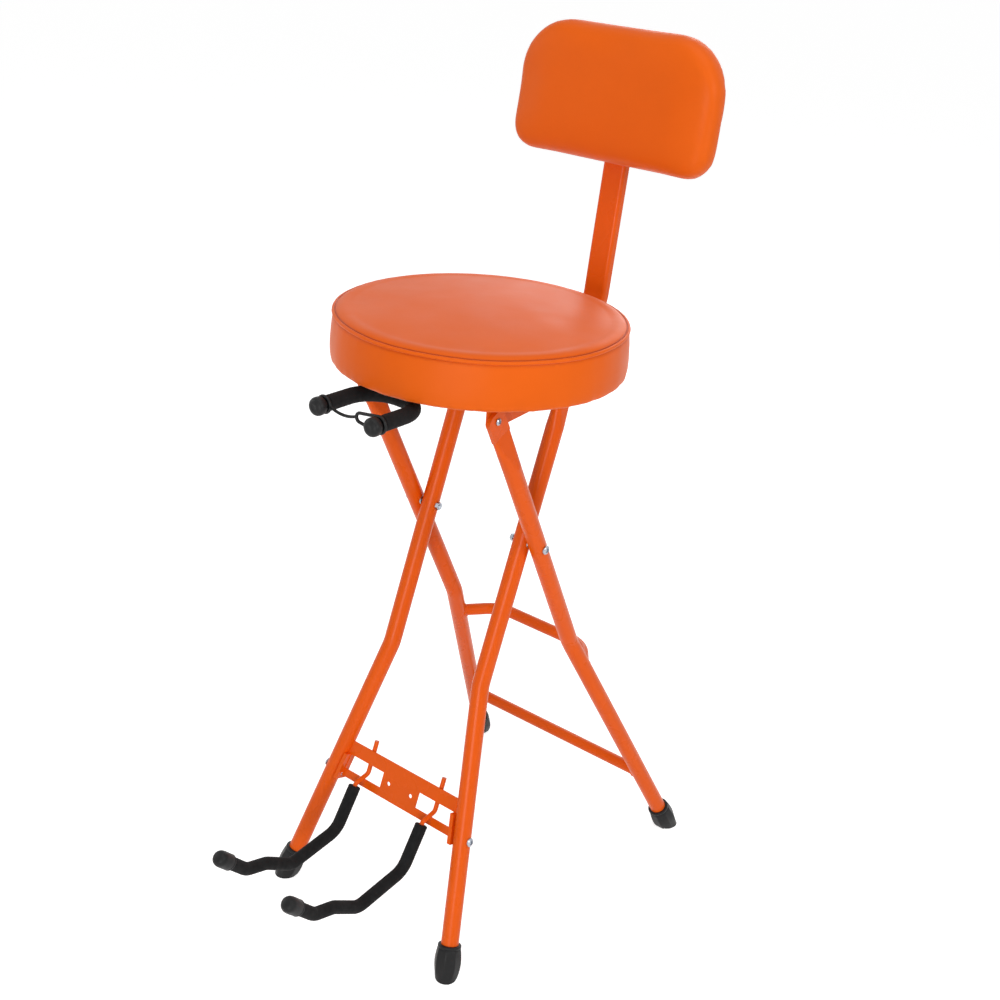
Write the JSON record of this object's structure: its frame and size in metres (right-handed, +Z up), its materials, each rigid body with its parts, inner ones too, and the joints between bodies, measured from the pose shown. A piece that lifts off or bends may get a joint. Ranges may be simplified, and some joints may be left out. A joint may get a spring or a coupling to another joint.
{
  "type": "folding guitar stool",
  "caption": "High folding stool with round padded seat and padded back on crossed tube legs, with a sliding neck yoke and swinging cradle arms that hold a guitar.",
  "frame": {"origin": "on the floor, under the middle of the whole part's box", "axes": "+Z up, -Y the way the user faces, +X the user's left"},
  "size_m": [0.3758, 0.6606, 1.0873],
  "materials": {
    "orange_vinyl": "satin",
    "orange_enamel": "gloss",
    "black_rubber": "matte",
    "black_plastic": "satin",
    "zinc_steel": "satin",
    "board_wood": "raw"
  },
  "bodies": {
    "seat": {"seat_cushion": "orange_vinyl", "seat_piping": "orange_vinyl", "seat_board": "board_wood", "seat_rail_left": "orange_enamel", "seat_rail_right": "orange_enamel", "rail_screws": "zinc_steel", "yoke_guide": "black_plastic", "guide_screws": "zinc_steel", "backrest_socket": "orange_enamel", "socket_screws": "zinc_steel", "front_pivot_bolt_left": "zinc_steel", "front_pivot_bolt_right": "zinc_steel", "front_pivot_nuts": "zinc_steel"},
    "outer_frame": {"outer_leg_left": "orange_enamel", "outer_leg_right": "orange_enamel", "rear_crossbar": "orange_enamel", "rear_bow_bar": "orange_enamel", "outer_foot_left": "black_rubber", "outer_foot_right": "black_rubber", "scissor_bolt_left": "zinc_steel", "scissor_bolt_right": "zinc_steel", "scissor_nuts": "zinc_steel", "scissor_washers": "zinc_steel"},
    "inner_frame": {"inner_leg_left": "orange_enamel", "inner_leg_right": "orange_enamel", "slide_pin_left": "zinc_steel", "slide_pin_right": "zinc_steel", "slide_collars": "zinc_steel", "cradle_plate": "orange_enamel", "plate_bolts": "zinc_steel", "inner_foot_left": "black_rubber", "inner_foot_right": "black_rubber"},
    "cradle_arm_left": {"cradle_rod_left": "orange_enamel", "cradle_sleeve_left": "black_rubber", "cradle_tip_left": "black_rubber"},
    "cradle_arm_right": {"cradle_rod_right": "orange_enamel", "cradle_sleeve_right": "black_rubber", "cradle_tip_right": "black_rubber"},
    "yoke": {"yoke_rod": "zinc_steel", "yoke_sleeve": "black_rubber", "yoke_slide_bar": "zinc_steel", "yoke_knob_left": "black_plastic", "yoke_knob_right": "black_plastic", "neck_strap": "black_rubber"},
    "yoke_clamp": {"yoke_thumb_screw": "black_plastic"},
    "backrest": {"backrest_post": "orange_enamel", "backrest_board": "board_wood", "backrest_pad": "orange_vinyl", "backrest_screws": "zinc_steel"},
    "backrest_clamp": {"backrest_knob": "black_plastic"}
  },
  "joints": [
    {"name": "outer_fold", "type": "hinge", "parent": "seat", "child": "outer_frame", "pos_m": [0, -0.06109, 0.69809], "axis": [-1, 0, 0], "range_deg": [0, 19.5]},
    {"name": "scissor_pivot", "type": "hinge", "parent": "outer_frame", "child": "inner_frame", "pos_m": [0, 0.0391, 0.5124], "axis": [1, 0, 0], "range_deg": [0, 39]},
    {"name": "cradle_swing_left", "type": "hinge", "parent": "inner_frame", "child": "cradle_arm_left", "pos_m": [0.057, -0.08084, 0.16407], "axis": [-1, 0, 0], "range_deg": [0, 90]},
    {"name": "cradle_swing_right", "type": "hinge", "parent": "inner_frame", "child": "cradle_arm_right", "pos_m": [-0.057, -0.08084, 0.16407], "axis": [-1, 0, 0], "range_deg": [0, 90]},
    {"name": "yoke_slide", "type": "slide", "parent": "seat", "child": "yoke", "axis": [0, 1, 0], "range_m": [0, 0.075]},
    {"name": "backrest_slide", "type": "slide", "parent": "seat", "child": "backrest", "axis": [0, 1, 0], "range_m": [0, 0.025]},
    {"name": "yoke_clamp_turn", "type": "hinge", "parent": "seat", "child": "yoke_clamp", "pos_m": [0, 0.0195, 0.69409], "axis": [0, 0, 1], "continuous": true},
    {"name": "backrest_clamp_turn", "type": "hinge", "parent": "seat", "child": "backrest_clamp", "pos_m": [0, 0.1475, 0.69409], "axis": [0, 0, 1], "continuous": true}
  ],
  "couplings": [
    {"joint": "scissor_pivot", "follows": "outer_fold", "ratio": 2}
  ]
}
